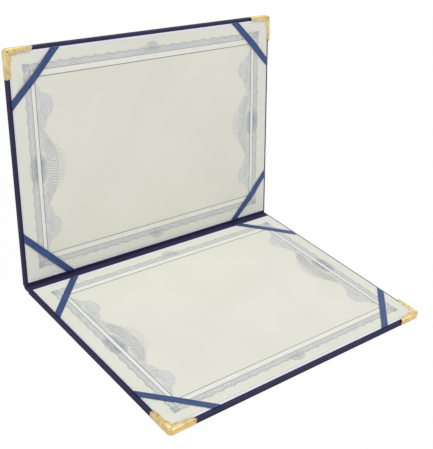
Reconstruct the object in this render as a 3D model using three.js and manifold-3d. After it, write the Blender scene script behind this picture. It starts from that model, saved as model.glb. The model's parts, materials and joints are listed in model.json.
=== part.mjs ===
// Padded leatherette diploma cover for two A4 landscape certificates, standing open.
// Two padded panels are joined by a flat spine that folds along two creases. Each panel carries a
// white card liner with a certificate held by four corner ribbons, and two folded brass corners.
// The origin is the centre of the back panel's underside, +X runs along the spine, +Z is up.
import * as THREE from "three";
import { mergeVertices } from "three/addons/utils/BufferGeometryUtils.js";
import Module from "manifold-3d";

const wasm = await Module();
wasm.setup();

// Driving dimensions, in millimetres and degrees.
const certificateWidth = 297; // A4 sheet, landscape
const certificateDepth = 210;
const certificateThickness = 0.2;
const linerSideMargin = 1; // liner showing beside the certificate
const linerEndMargin = 2.4; // liner showing above and below the certificate
const linerThickness = 0.4;
const sideBorder = 2.9; // leatherette showing beside the liner
const endBorder = 3.1; // leatherette showing above and below the liner
const leatherThickness = 0.6;
const boardThickness = 1.65;
const paddingThickness = 1;
const turnInWidth = 15; // leatherette folded over onto the inner face
const cornerRadius = 3.5; // panel corner, seen from above
const edgeRound = 0.7; // wrapped edge, seen in section
const rimRise = 0.6; // the padding is this much thinner at the rim
const padRun = 16; // from the rim to the flat of the pad
const padCornerRadius = 25;
const openAngle = 100.5; // between the two inner faces, as the cover stands
const spineWidth = 5.8; // from crease to crease
const spineLift = 0.3; // outer spine strip above the table
const creaseGap = 0.3; // room for the fold between two stiff pieces
const seat = 0.15; // gap between pieces that lie on each other

// Ribbons
const ribbonWidth = 6.4;
const ribbonThickness = 0.15;
const ribbonLeg = 45; // liner corner to the ribbon's centre line, along the edge
const ribbonTail = 14; // length folded under the liner
const backRibbonBow = 0.3; // how far a ribbon stands off the paper at its middle
const frontRibbonBow = 1.7;

// Brass corners
const brassThickness = 0.3;
const brassLeg = 26;
const brassFold = 0.5; // outer radius of the folded edge
const flangeWide = 5.4; // inner flange beside the mitre, from the panel's edge
const flangeNarrow = 3.9; // inner flange past the scallop
const scallopStart = 10; // from the panel's corner
const scallopRun = 2.2;
const flangeEndRun = 3.5; // rounded end of the flange
const plateBow = 1.5; // hollow of the outer triangle's long side
const mitreGap = 0.25;
const mitreHoleRadius = 0.55;
const mitreHoleInset = 1.7;

// Certificate border, measured in from the sheet's edge
const inkThickness = 0.05;
const inkLift = 0.05;
const bandSideInset = 11.2;
const bandEndInset = 8.8;
const bandWidth = 6.4;
const waveHeight = 1.3;
const wavePitch = 12.5;
const ruleGap = 3.9; // from the band's inner edge
const ruleWidth = 0.5;

// Smoothness
const cornerSteps = 5;
const padSteps = 4;
const foldSteps = 2;
const waveSteps = 4;
const lobeSteps = 5;
const ribbonSteps = 8;

// Derived sizes
const linerWidth = certificateWidth + 2 * linerSideMargin;
const linerDepth = certificateDepth + 2 * linerEndMargin;
const panelWidth = linerWidth + 2 * sideBorder;
const panelDepth = linerDepth + 2 * endBorder;
const boardInset = leatherThickness + seat;
const paddingTop = -(boardInset + boardThickness + seat);
const panelThickness = -paddingTop + paddingThickness + boardInset;
const panelLow = creaseGap / 2;
const panelHigh = panelLow + panelDepth;
const tailBottom = seat;
const linerBottom = tailBottom + ribbonThickness + seat;
const linerTop = linerBottom + linerThickness;
const certificateBottom = linerTop + seat;
const certificateTop = certificateBottom + certificateThickness;
const inkBottom = certificateTop + inkLift;
const inkTop = inkBottom + inkThickness;
const ribbonBottom = inkTop + seat;
const flangeBottom = certificateTop + seat;
const backCrease = panelDepth / 2 + creaseGap / 2;
const frontCrease = backCrease + spineWidth;
const linerLow = panelLow + endBorder;
const linerHigh = linerLow + linerDepth;
const panelMiddle = (panelLow + panelHigh) / 2;

// Lobes of the lace on the border's inner edge: place along the side from its middle, inset, radius.
const sideLobes = [
  [0, 19.6, 24],
  [21, 20, 15],
  [45, 21, 9],
  [58, 27, 12],
  [70, 19, 7],
];
const endLobes = [
  [0, 10.5, 11],
  [13, 12.5, 4.5],
];

const leatherColour = 0x2f2d4e;
const boardColour = 0x8d8577;
const foamColour = 0xd9d3bf;
const linerColour = 0xe9e8ee;
const paperColour = 0xdedfd2;
const inkColour = 0xa9aec4;
const ribbonColour = 0x2c4d8f;
const brassColour = 0xd9bf74;

const solid = (geometry) => {
  const bare = geometry.clone();
  bare.deleteAttribute("normal");
  bare.deleteAttribute("uv");
  const merged = mergeVertices(bare, 1e-5);
  const mesh = new wasm.Mesh({
    numProp: 3,
    vertProperties: new Float32Array(merged.attributes.position.array),
    triVerts: new Uint32Array(merged.index.array),
  });
  return new wasm.Manifold(mesh);
};

const geometryOf = (manifold) => {
  const mesh = manifold.getMesh();
  const geometry = new THREE.BufferGeometry();
  geometry.setAttribute("position", new THREE.BufferAttribute(mesh.vertProperties, 3));
  geometry.setIndex(new THREE.BufferAttribute(mesh.triVerts, 1));
  return geometry;
};

// Joins rings of equal length with quads and closes both ends; the faces are turned out.
function loft(rings) {
  const count = rings[0].length;
  const points = rings.flat();
  const faces = [];
  for (let ring = 0; ring + 1 < rings.length; ring++) {
    for (let i = 0; i < count; i++) {
      const next = (i + 1) % count;
      const a = ring * count + i;
      const b = ring * count + next;
      faces.push([a, b, b + count], [a, b + count, a + count]);
    }
  }
  const last = (rings.length - 1) * count;
  for (let i = 1; i + 1 < count; i++) {
    faces.push([0, i + 1, i], [last, last + i, last + i + 1]);
  }
  const corner = (index) => new THREE.Vector3(...points[index]);
  const volume = faces.reduce((sum, [a, b, c]) => sum + corner(a).dot(corner(b).cross(corner(c))), 0);
  const index = faces.flatMap(([a, b, c]) => (volume > 0 ? [a, b, c] : [a, c, b]));
  const geometry = new THREE.BufferGeometry();
  geometry.setAttribute("position", new THREE.Float32BufferAttribute(points.flat(), 3));
  geometry.setIndex(index);
  return geometry;
}

// A ring of the panel's outline, moved in by inset, with rounded corners.
function panelRing(inset, radius, level) {
  const right = panelWidth / 2 - inset - radius;
  const high = panelHigh - inset - radius;
  const low = panelLow + inset + radius;
  const centres = [[right, high], [-right, high], [-right, low], [right, low]];
  return centres.flatMap(([x, y], quarter) =>
    Array.from({ length: cornerSteps + 1 }, (_, step) => {
      const angle = (quarter + step / cornerSteps) * (Math.PI / 2);
      return [x + radius * Math.cos(angle), y + radius * Math.sin(angle), level];
    }),
  );
}

// A flat slab on the panel's outline with rounded edges.
function panelSlab(inset, bottom, top, round) {
  const radius = Math.max(cornerRadius - inset, 0.5) - round;
  const rings = [];
  for (let step = 0; step <= foldSteps; step++) {
    const angle = (step / foldSteps) * (Math.PI / 2);
    const drawnIn = round * (1 - Math.sin(angle));
    rings.push([drawnIn, bottom + round * (1 - Math.cos(angle))]);
  }
  rings.push(...rings.slice().reverse().map(([drawnIn, level]) => [drawnIn, top - (level - bottom)]));
  return loft(rings.map(([drawnIn, level]) => panelRing(inset + drawnIn, radius + round - drawnIn, level)));
}

// The padded form, moved in by offset: a flat plateau, a slope up to the thinner rim and a wall.
function paddedForm(offset, top) {
  const round = Math.max(edgeRound - offset, 0.1);
  const radius = Math.max(cornerRadius - offset, 0.5);
  const plateau = -panelThickness + offset;
  const rim = plateau + rimRise;
  const rings = [];
  for (let step = 0; step <= padSteps; step++) {
    const share = step / padSteps;
    rings.push(panelRing(
      THREE.MathUtils.lerp(padRun, offset + round, share),
      THREE.MathUtils.lerp(padCornerRadius, radius - round, share),
      plateau + rimRise * (1 - Math.cos((share * Math.PI) / 2)),
    ));
  }
  for (let step = 1; step <= foldSteps; step++) {
    const angle = (step / foldSteps) * (Math.PI / 2);
    const drawnIn = round * (1 - Math.sin(angle));
    rings.push(panelRing(offset + drawnIn, radius - drawnIn, rim + round * (1 - Math.cos(angle))));
  }
  for (let step = foldSteps; step >= 0; step--) {
    const angle = (step / foldSteps) * (Math.PI / 2);
    const drawnIn = round * (1 - Math.sin(angle));
    rings.push(panelRing(offset + drawnIn, radius - drawnIn, top - round * (1 - Math.cos(angle))));
  }
  return loft(rings);
}

// Extrudes an outline given from the panel's free corner: u from its side edge, v from its free end.
function cornerPrism(side, draw, bottom, top) {
  const flat = new THREE.Shape();
  draw(flat);
  const outline = flat.getPoints(cornerSteps).map(
    ({ x: u, y: v }) => new THREE.Vector2(side * (panelWidth / 2 - u), panelHigh - v),
  );
  const prism = new THREE.ExtrudeGeometry(new THREE.Shape(outline), { depth: top - bottom, bevelEnabled: false });
  return prism.translate(0, 0, bottom);
}

// The triangle that a brass corner covers on the outer face, grown by a clearance.
const plateOutline = (grow) => (shape) => {
  const outside = -2 * (brassThickness + seat);
  const leg = brassLeg + grow;
  shape.moveTo(outside, outside);
  shape.lineTo(leg, outside);
  shape.lineTo(leg, 0);
  shape.quadraticCurveTo(leg / 2 - plateBow, leg / 2 - plateBow, 0, leg);
  shape.lineTo(outside, leg);
};

// The folded-in flanges: wide beside the mitre, scalloped, then narrow with a rounded end.
const flangeOutline = (shape) => {
  const outside = -2 * (brassThickness + seat);
  const halfEdge = [
    [brassLeg, outside],
    [brassLeg, 0],
    [brassLeg - flangeEndRun * 0.3, flangeNarrow * 0.7],
    [brassLeg - flangeEndRun, flangeNarrow],
    [scallopStart + scallopRun, flangeNarrow],
    [scallopStart + scallopRun * 0.3, THREE.MathUtils.lerp(flangeNarrow, flangeWide, 0.3)],
    [scallopStart, flangeWide],
  ];
  shape.moveTo(outside, outside);
  halfEdge.forEach(([u, v]) => shape.lineTo(u, v));
  shape.lineTo(flangeWide, flangeWide);
  halfEdge.slice().reverse().forEach(([u, v]) => shape.lineTo(v, u));
};

function brassCorner(side) {
  const outerTop = flangeBottom + brassThickness;
  const outside = panelSlab(-(seat + brassThickness), -panelThickness, outerTop, brassFold);
  const inside = panelSlab(-seat, -panelThickness + brassThickness, flangeBottom, brassFold - brassThickness);
  const middle = -panelThickness / 2;
  const clear = 2 * panelThickness;
  const plate = cornerPrism(side, plateOutline(0), -clear, middle);
  const flange = cornerPrism(side, flangeOutline, middle, clear);
  const mitreLength = (flangeWide - mitreHoleInset) * Math.SQRT2 + 1;
  const mitre = new THREE.BoxGeometry(mitreLength, mitreGap, clear);
  mitre.translate(mitreLength / 2, 0, flangeBottom + clear / 2);
  mitre.rotateZ(side > 0 ? (-3 * Math.PI) / 4 : -Math.PI / 4);
  mitre.translate(side * (panelWidth / 2 - mitreHoleInset), panelHigh - mitreHoleInset, 0);
  const hole = new THREE.CylinderGeometry(mitreHoleRadius, mitreHoleRadius, clear, 10);
  hole.rotateX(Math.PI / 2);
  hole.translate(side * (panelWidth / 2 - mitreHoleInset), panelHigh - mitreHoleInset, flangeBottom + clear / 2);
  const shell = solid(outside).subtract(solid(inside));
  const folded = shell.intersect(solid(plate).add(solid(flange)));
  return geometryOf(folded.subtract(solid(mitre)).subtract(solid(hole)));
}

// The hollow that a brass corner presses into the padding, for a surface moved in by offset.
const pressedCorner = (side, offset) => solid(cornerPrism(
  side,
  plateOutline(seat + offset),
  -2 * panelThickness,
  -panelThickness + brassThickness + seat + offset,
));

function leatherette() {
  const sides = [-1, 1];
  let skin = solid(paddedForm(0, 0));
  let core = solid(paddedForm(leatherThickness, -leatherThickness));
  sides.forEach((side) => {
    skin = skin.subtract(pressedCorner(side, 0));
    core = core.subtract(pressedCorner(side, leatherThickness));
  });
  const window = panelSlab(turnInWidth, -leatherThickness - seat, seat, 0.01);
  return geometryOf(skin.subtract(core).subtract(solid(window)));
}

function padding() {
  let foam = solid(paddedForm(boardInset, paddingTop));
  [-1, 1].forEach((side) => {
    foam = foam.subtract(pressedCorner(side, boardInset));
  });
  return geometryOf(foam);
}

const board = () => panelSlab(boardInset, -boardInset - boardThickness, -boardInset, 0.1);

function sheet(width, depth, bottom, thickness) {
  const flat = new THREE.BoxGeometry(width, depth, thickness);
  return flat.translate(0, panelMiddle, bottom + thickness / 2);
}

// One station of a ribbon: the fold line's path gives place and level, the run gives the slant.
function ribbonStation(path, index, swap, sideX, sideY) {
  const [place, level, run] = path[index];
  const before = path[Math.max(index - 1, 0)];
  const after = path[Math.min(index + 1, path.length - 1)];
  const tangent = new THREE.Vector2(after[0] - before[0], after[1] - before[1]).normalize();
  const normal = new THREE.Vector2(-tangent.y, tangent.x).multiplyScalar(ribbonThickness / 2);
  const slant = ribbonWidth / Math.SQRT2;
  const corner = (across, face) => {
    const u = place + face * normal.x;
    const v = ribbonLeg + across * slant - run;
    const [x, y] = swap ? [v, u] : [u, v];
    return [
      sideX * (linerWidth / 2 - x),
      sideY > 0 ? linerHigh - y : linerLow + y,
      level + face * normal.y,
    ];
  };
  return [corner(-1, 1), corner(1, 1), corner(1, -1), corner(-1, -1)];
}

// A ribbon crosses the corner at 45 degrees and folds round the liner's two edges to its underside.
function ribbon(sideX, sideY, bow) {
  const top = ribbonBottom + ribbonThickness / 2;
  const low = tailBottom + ribbonThickness / 2;
  const out = -(seat + ribbonThickness / 2);
  const turn = 0.25;
  const drop = top - low;
  const path = [
    [ribbonTail, low, -(drop + ribbonTail)],
    [turn, low, -(drop + turn)],
    [out, low + turn, -drop],
    [out, top - turn, -turn],
    [turn, top, turn],
    [2, top, 2],
  ];
  const first = path.map((_, index) => ribbonStation(path, index, false, sideX, sideY));
  const second = path.map((_, index) => ribbonStation(path, index, true, sideX, sideY));
  const start = first[first.length - 1];
  const end = second[second.length - 1];
  const middle = [];
  for (let step = 1; step < ribbonSteps; step++) {
    const share = step / ribbonSteps;
    const lift = bow * Math.sin(Math.PI * share) ** 2;
    middle.push(start.map((point, i) => point.map(
      (value, axis) => THREE.MathUtils.lerp(value, end[i][axis], share) + (axis === 2 ? lift : 0),
    )));
  }
  return loft([...first, ...middle, ...second.reverse()]);
}

// The four sides of the border in turn: half length, half width, end insets, side inset and lobes.
function borderSides() {
  const halfX = certificateWidth / 2;
  const halfY = certificateDepth / 2;
  const end = { along: halfX, across: halfY, ends: bandSideInset, inset: bandEndInset, lobes: endLobes };
  const side = { along: halfY, across: halfX, ends: bandEndInset, inset: bandSideInset, lobes: sideLobes };
  return [end, side, end, side];
}

const turned = (x, y, quarter) => new THREE.Vector2(x, y).rotateAround(new THREE.Vector2(), (quarter * Math.PI) / 2);

// The wavy outer edge of the printed band, corner to corner along all four sides.
const wavyEdge = () => borderSides().flatMap(({ along, across, ends, inset }, quarter) => {
  const length = 2 * (along - ends);
  const waves = Math.round(length / wavePitch);
  return Array.from({ length: waves * waveSteps }, (_, step) => {
    const share = step / (waves * waveSteps);
    const dip = (waveHeight * (1 - Math.cos(2 * Math.PI * share * waves))) / 2;
    return turned(-length / 2 + length * share, -(across - inset - dip), quarter);
  });
});

// The inner edge of the printed band: straight, with round lace lobes about the middle of each side.
const lacedEdge = () => borderSides().flatMap(({ along, across, ends, inset, lobes }, quarter) => {
  const circles = lobes.flatMap(([place, depth, radius]) =>
    (place === 0 ? [[0, depth, radius]] : [[-place, depth, radius], [place, depth, radius]]));
  const depthAt = (place) => Math.max(inset + bandWidth, ...circles
    .filter(([centre, , radius]) => Math.abs(place - centre) < radius)
    .map(([centre, depth, radius]) => depth + Math.sqrt(radius ** 2 - (place - centre) ** 2)));
  const places = circles.flatMap(([centre, , radius]) =>
    Array.from({ length: 2 * lobeSteps + 1 }, (_, step) =>
      centre - radius * Math.cos((Math.PI * step) / (2 * lobeSteps))));
  const nearest = 0.8;
  return [-(along - ends - bandWidth), ...places].sort((a, b) => a - b)
    .filter((place, i, all) => i === 0 || place - all[i - 1] > nearest)
    .map((place) => turned(place, -(across - depthAt(place)), quarter));
});

function printed(outer, inner) {
  const shape = new THREE.Shape(outer);
  shape.holes.push(new THREE.Path(inner));
  const ink = new THREE.ExtrudeGeometry(shape, { depth: inkThickness, bevelEnabled: false });
  return solid(ink.translate(0, panelMiddle, inkBottom));
}

// The certificate's border: a wavy band with lace, and a thin rectangular line that the lace crosses.
function borderPrint() {
  const rectangle = (grow) => [[-1, -1], [1, -1], [1, 1], [-1, 1]].map(([x, y]) => new THREE.Vector2(
    x * (certificateWidth / 2 - bandSideInset - bandWidth - grow),
    y * (certificateDepth / 2 - bandEndInset - bandWidth - grow),
  ));
  const band = printed(wavyEdge(), lacedEdge());
  const rule = printed(rectangle(ruleGap), rectangle(ruleGap + ruleWidth));
  return geometryOf(band.add(rule));
}

function spineStrip(bottom, thickness) {
  const width = spineWidth - creaseGap;
  const middle = (backCrease + frontCrease) / 2;
  const half = width / 2;
  const round = thickness / 3;
  const section = new THREE.Shape();
  section.moveTo(-half + round, 0);
  section.lineTo(half - round, 0);
  section.quadraticCurveTo(half, 0, half, round);
  section.lineTo(half, thickness - round);
  section.quadraticCurveTo(half, thickness, half - round, thickness);
  section.lineTo(-half + round, thickness);
  section.quadraticCurveTo(-half, thickness, -half, thickness - round);
  section.lineTo(-half, round);
  section.quadraticCurveTo(-half, 0, -half + round, 0);
  const strip = new THREE.ExtrudeGeometry(section, { depth: panelWidth, bevelEnabled: false, curveSegments: 3 });
  strip.rotateX(Math.PI / 2).rotateZ(Math.PI / 2);
  return geometryOf(solid(strip.translate(-panelWidth / 2, middle, bottom)));
}

function piece(name, geometry, color, roughness, metalness = 0) {
  const mesh = new THREE.Mesh(geometry, new THREE.MeshStandardMaterial({ color, roughness, metalness }));
  mesh.name = name;
  return mesh;
}

// One padded panel with what lies on it; its local +Y runs from the crease to the free end.
function panel(name, ribbonBow, xSign) {
  const group = new THREE.Group();
  group.add(
    piece(`${name}_leatherette`, leatherette(), leatherColour, 0.45),
    piece(`${name}_padding`, padding(), foamColour, 0.9),
    piece(`${name}_board`, board(), boardColour, 0.85),
    piece(`${name}_liner`, sheet(linerWidth, linerDepth, linerBottom, linerThickness), linerColour, 0.5),
    piece(
      `${name}_certificate`,
      sheet(certificateWidth, certificateDepth, certificateBottom, certificateThickness),
      paperColour,
      0.8,
    ),
    piece(`${name}_border_print`, borderPrint(), inkColour, 0.8),
  );
  for (const [side, sideX] of [["left", -xSign], ["right", xSign]]) {
    for (const [end, sideY] of [["hinge", -1], ["outer", 1]]) {
      group.add(piece(`${name}_ribbon_${end}_${side}`, ribbon(sideX, sideY, ribbonBow), ribbonColour, 0.35));
    }
    group.add(piece(`${name}_brass_corner_${side}`, brassCorner(sideX), brassColour, 0.3, 1));
  }
  return group;
}

const back = panel("back", backRibbonBow, -1);
back.position.set(0, backCrease, panelThickness);
back.rotation.z = Math.PI;

const front = panel("front", frontRibbonBow, 1);
front.position.set(0, frontCrease, panelThickness);
front.rotation.x = THREE.MathUtils.degToRad(180 - openAngle);

const diplomaCover = new THREE.Group();
diplomaCover.add(
  back,
  front,
  piece("spine_inner_strip", spineStrip(panelThickness - leatherThickness, leatherThickness), leatherColour, 0.45),
  piece("spine_leatherette", spineStrip(spineLift, leatherThickness), leatherColour, 0.45),
);

export default diplomaCover;
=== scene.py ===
# Padded leatherette diploma cover, standing open, with two certificates under satin corner ribbons.
import json
import math

import bpy
from mathutils import Matrix, Quaternion, Vector, noise


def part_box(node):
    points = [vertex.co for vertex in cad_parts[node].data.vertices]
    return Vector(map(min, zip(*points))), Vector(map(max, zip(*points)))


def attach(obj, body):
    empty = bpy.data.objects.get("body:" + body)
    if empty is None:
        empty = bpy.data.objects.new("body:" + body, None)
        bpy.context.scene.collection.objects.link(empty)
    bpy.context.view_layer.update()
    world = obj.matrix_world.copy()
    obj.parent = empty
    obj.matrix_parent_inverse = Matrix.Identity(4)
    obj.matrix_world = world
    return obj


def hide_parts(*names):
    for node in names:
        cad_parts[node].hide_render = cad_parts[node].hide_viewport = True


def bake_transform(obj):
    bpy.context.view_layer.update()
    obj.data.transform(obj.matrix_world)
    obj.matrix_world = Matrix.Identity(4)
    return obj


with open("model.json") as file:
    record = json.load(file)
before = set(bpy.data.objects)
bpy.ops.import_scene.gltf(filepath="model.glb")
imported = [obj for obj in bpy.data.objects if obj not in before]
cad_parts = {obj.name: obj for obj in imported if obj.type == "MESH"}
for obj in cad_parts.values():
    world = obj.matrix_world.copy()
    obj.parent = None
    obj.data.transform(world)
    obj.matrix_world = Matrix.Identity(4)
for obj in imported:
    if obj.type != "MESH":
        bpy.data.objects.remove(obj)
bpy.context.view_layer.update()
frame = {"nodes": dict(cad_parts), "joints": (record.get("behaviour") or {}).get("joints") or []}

MM = 0.001

# Sizes read from the frame
JOINTS = {joint["name"]: joint for joint in frame["joints"]}
BACK_CREASE = Vector(JOINTS["back_crease"]["pos_m"])
FRONT_CREASE = Vector(JOINTS["front_crease"]["pos_m"])
FRONT_LEAN = math.radians(-JOINTS["front_crease"]["range_deg"][0])

# A panel's own frame: x along the spine, y from the crease to the free end, z out of the inner face
PANEL_PLACE = {
    "back": Matrix.Translation(BACK_CREASE) @ Matrix.Rotation(math.pi, 4, "Z"),
    "front": Matrix.Translation(FRONT_CREASE) @ Matrix.Rotation(FRONT_LEAN, 4, "X"),
}
PANEL_BODY = {"back": "back_cover", "front": "front_cover"}


def panel_box(part):
    """Lowest and highest corner of a part of the panel, in the panel's own frame."""
    low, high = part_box("back_" + part)
    turned = [PANEL_PLACE["back"].inverted() @ corner for corner in (low, high)]
    return Vector(map(min, *turned)), Vector(map(max, *turned))


SKIN_LOW, SKIN_HIGH = panel_box("leatherette")
PADDING_LOW, PADDING_HIGH = panel_box("padding")
LINER_LOW, LINER_HIGH = panel_box("liner")
SHEET_LOW, SHEET_HIGH = panel_box("certificate")
RIBBON_LOW, RIBBON_HIGH = panel_box("ribbon_hinge_left")
PRINT_TOP = panel_box("border_print")[1].z
BRASS_TOP = panel_box("brass_corner_left")[1].z

HALF_WIDTH = SKIN_HIGH.x
THICKNESS = -SKIN_LOW.z
MIDDLE_Y = (SKIN_LOW.y + SKIN_HIGH.y) / 2
HALF_DEPTH = (SKIN_HIGH.y - SKIN_LOW.y) / 2
SHEET_HALF_X = SHEET_HIGH.x
SHEET_HALF_Y = (SHEET_HIGH.y - SHEET_LOW.y) / 2

NEAR = 1e-6  # metres within which two places count as the same

# Leatherette skin
SKIN_WALL = 0.6 * MM
SKIN_GRID = (96, 72)
CROWDING = 1.7  # above 1, grid lines lie closer together near the edges
RIM_DROP = 0.6 * MM  # the padding thins towards the rim by this much
PAD_RUN = 16 * MM  # width of the slope at the rim
PAD_STEPS = 4
PAD_SHOULDER = 0.6  # below 1, the slope is steeper at the rim and flatter on top
PAD_FILLET = 0.1 * MM
PAD_SWELL = 0.15 * MM  # unevenness of the soft padding under the skin
SWELL_SIZE = 45 * MM
PLATE_SLOPE = 3 * MM  # beside a brass plate the skin comes up to its own level over this
CORNER_RADIUS = 3.5 * MM
CORNER_SEGMENTS = 10
EDGE_ROUND = 0.7 * MM
EDGE_SEGMENTS = 4
TURN_IN = 15 * MM
SEAT = 0.15 * MM  # gap between pieces that lie on each other

# Spine
SPINE_BULGE_RUN = 1.2 * MM
SPINE_BULGE = 0.3 * MM  # the outer face stands out by this much
SPINE_DIP_RUN = 0.9 * MM
SPINE_DIP = 0.15 * MM  # the inner face sinks in by this much
BACK_FOLD_CUTS = 10
FRONT_FOLD_STEPS = 12

# Sheets
SHEET_GRID = (60, 44)
LINER_CORNER = 0.8 * MM
CERTIFICATE_CORNER = 0.2 * MM
CERTIFICATE_LIFT = 0.12 * MM  # most that the sheet's edge stands up
LIFT_RUN = 8 * MM
LIFT_WAVE = 70 * MM

# Brass corners
BRASS_WALL = 0.3 * MM
BRASS_LEG = 26 * MM
BRASS_FOLD = 0.5 * MM
FLANGE_WIDE = 5.4 * MM
FLANGE_NARROW = 3.9 * MM
SCALLOP_START = 10 * MM
SCALLOP_RUN = 2.4 * MM
SCALLOP_STEPS = 4
FLANGE_END_RUN = 3.5 * MM
FLANGE_TIP = 0.2 * MM  # how far the flange's end stands in from the edge before it slopes
FLANGE_SHOULDER = (0.35, 0.7)  # a point of the slope, as shares of its run and of the narrow width
PLATE_BOW = 1.5 * MM
PLATE_STEPS = 10
MITRE_GAP = 0.25 * MM
MITRE_HOLE = 0.6 * MM
MITRE_HOLE_SIDES = 24
MITRE_HOLE_INSET = 1.7 * MM
MITRE_OVERRUN = 1 * MM  # the slit's cutter runs past the flange by this much
MITRE_CUT_HEIGHT = 2 * MM
BRASS_BURR = 0.05 * MM  # rounding of the cut edges
BRASS_SHARP = math.radians(50)  # edges sharper than this are rounded

# Ribbons
RIBBON_WIDTH = 6.4 * MM
RIBBON_WALL = 0.15 * MM
RIBBON_LEG = 45 * MM
RIBBON_TAIL = 14 * MM
RIBBON_GRID = (120, 8)
RIBBON_BOW = {"back": 0.3 * MM, "front": 1.7 * MM}  # how far its middle stands off the sheet
RIBBON_MEAN = 0.85  # shares of the bow: what all of the middle has, what the waves add or take
RIBBON_SOFTNESS = 0.3
RIBBON_TILT = 0.35  # one long edge stands off more than the other by this share of the bow
RIBBON_WAVE = (14 * MM, 9 * MM)  # along and across
RIBBON_TOP = RIBBON_HIGH.z - RIBBON_BOW["back"] - RIBBON_WALL / 2
RIBBON_UNDER = RIBBON_LOW.z + RIBBON_WALL / 2
RIBBON_FOLDS = math.pi * (RIBBON_TOP - RIBBON_UNDER)
RIBBON_FLAT = (RIBBON_LEG + 2 * RIBBON_TAIL + RIBBON_FOLDS) * math.sqrt(2)

# Print on the certificate, measured in from the sheet's edge
INK_WALL = 0.03 * MM
LINES_LIFT = 0.005 * MM  # the line work's gap over the tint
INK_GAP = 0.01 * MM  # the opaque inks lie over the tint by this and one ink's thickness
LINE_WIDTH = 0.22 * MM
BAND_SIDE_INSET = 11.2 * MM
BAND_END_INSET = 8.8 * MM
BAND_WIDTH = 6.4 * MM
WEAVE_PITCH = 12.5 * MM
WEAVE_STEPS = 10  # points drawn per wave
WEAVE_STRANDS = 4
WEAVE_SWING = 0.36  # share of the band's width
WEAVE_RIPPLE = 0.08  # share of the band's width
WEAVE_SHIFT = 0.4 * MM  # the weave's middle, in from the band's middle
EDGE_WAVE = 1.7 * MM  # depth of the scallops on the band's outer edge
EDGE_DOUBLE = 0.7 * MM  # from the edge's first line to its second
BAND_RULE_WIDTH = 0.35 * MM
STRIPE_GAP = 0.4 * MM  # from the band to the white stripe
STRIPE_TRIM = 0.1 * MM  # from the white stripe to the rule inside it
RULE_GAP_SIDE = 3.9 * MM
RULE_GAP_END = 5.6 * MM
RULE_WIDTH = 0.5 * MM

# Rosettes and lace. Depths are in from the band's outer edge.
LOOP_STEPS = 14
LOOP_SPREAD = 0.8  # half width of a loop, as a share of the loops' spacing
CORE_DEPTH = 8.4 * MM
CORE_RADIUS = 8.6 * MM
CORE_STRETCH = 1.7  # the core's reach along the side, as a share of its reach inward
CORE_LOOPS = 52
STROKES = 27
STROKE_SPAN = 1.3  # radians to either side of the rosette's inward axis
STROKE_LENGTH = 11 * MM
STROKE_STEPS = 6
STROKE_FOOT = (1.5, 1.1)  # where a stroke starts, along and inward, as shares of the core's reach
STROKE_FAN = 0.8  # a stroke's heading, as a share of its place's angle
STROKE_CURL = 0.25  # radians
PALE_STROKE_WIDTH = 1.3 * MM
DARK_STROKE_WIDTH = 0.3 * MM
HUMP_DEPTH = 4.6 * MM  # centre of the hump on a long side
HUMP_RADIUS = 8.5 * MM
HUMP_LOOPS = 11
HUMP_RING = (9 * MM, 0.5 * MM, 20)  # radius, wobble and lobes
CORNER_SQUARES = (3.1 * MM, 2.2 * MM)  # half widths
CORNER_RING = (1.7 * MM, 0.9 * MM, 4)  # radius, wobble and lobes
# radius, wobble, lobes, half span in radians and number of points
LACE_RINGS = [
    (9.9 * MM, 0.4 * MM, 24, math.pi, 96),
    (6 * MM, 0.8 * MM, 16, math.pi, 72),
    (24.6 * MM, 0.7 * MM, 40, 1.3, 72),
    (27 * MM, 0.9 * MM, 24, 1.0, 72),
]
# place along the side from its middle, depth and radius
LACE_LOBES = [
    (28 * MM, 6 * MM, 12 * MM),
    (44 * MM, 9 * MM, 10 * MM),
    (57 * MM, 14 * MM, 12 * MM),
    (70 * MM, 7 * MM, 8 * MM),
]
LOBE_LOOPS = 8
LOBE_RING = (1.0 * MM, 12)  # wobble and lobes

# Camera, floor and light
CAMERA_AT = Vector((-481.8, -481.2, 474.9)) * MM
CAMERA_HEADING = math.radians(43.24)  # from +Y towards +X
CAMERA_DIP = math.radians(29.665)
CAMERA_ROLL = math.radians(7.698)
CAMERA_LENS = 69.135  # mm, on the usual 36 mm sensor
FLOOR_SIZE = 8  # metres
FLOOR_SHOWN_WHITE = 0.97  # share of the seen floor that is plain white; the rest takes the shadow
WORLD_LIGHT = 0.52
LAMP_AIM = Vector((0, 0.05, 0.08))
# name, place, diameter and watts
LAMPS = [
    ("key", Vector((-0.7, -1.0, 1.6)), 1.2, 12),
    ("top", Vector((0.5, 0.1, 1.8)), 1.0, 8),
]


def linear(code):
    """An sRGB hex colour as linear red, green, blue and alpha."""
    channels = [int(code[i:i + 2], 16) / 255 for i in (1, 3, 5)]
    return [c / 12.92 if c <= 0.04045 else ((c + 0.055) / 1.055) ** 2.4 for c in channels] + [1.0]


def add(tree, kind, inputs=None, **settings):
    """Adds a shader node. Inputs, by name or number, take a value or another node's output."""
    made = tree.nodes.new("ShaderNode" + kind)
    for name, value in settings.items():
        setattr(made, name, value)
    for name, value in (inputs or {}).items():
        if isinstance(value, bpy.types.NodeSocket):
            tree.links.new(value, made.inputs[name])
        else:
            made.inputs[name].default_value = value
    return made


def ramp(tree, factor, stops):
    """A colour ramp through (place, hex colour) stops."""
    made = add(tree, "ValToRGB", {"Fac": factor})
    points = made.color_ramp.elements
    while len(points) < len(stops):
        points.new(1.0)
    for point, (place, code) in zip(points, stops):
        point.position = place
        point.color = linear(code)
    return made.outputs["Color"]


def material(name):
    """A new material with its tree, its Principled shader and its object coordinates."""
    made = bpy.data.materials.new(name)
    made.use_nodes = True
    tree = made.node_tree
    shader = tree.nodes["Principled BSDF"]
    where = add(tree, "TexCoord").outputs["Object"]
    return made, tree, shader, where


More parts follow.
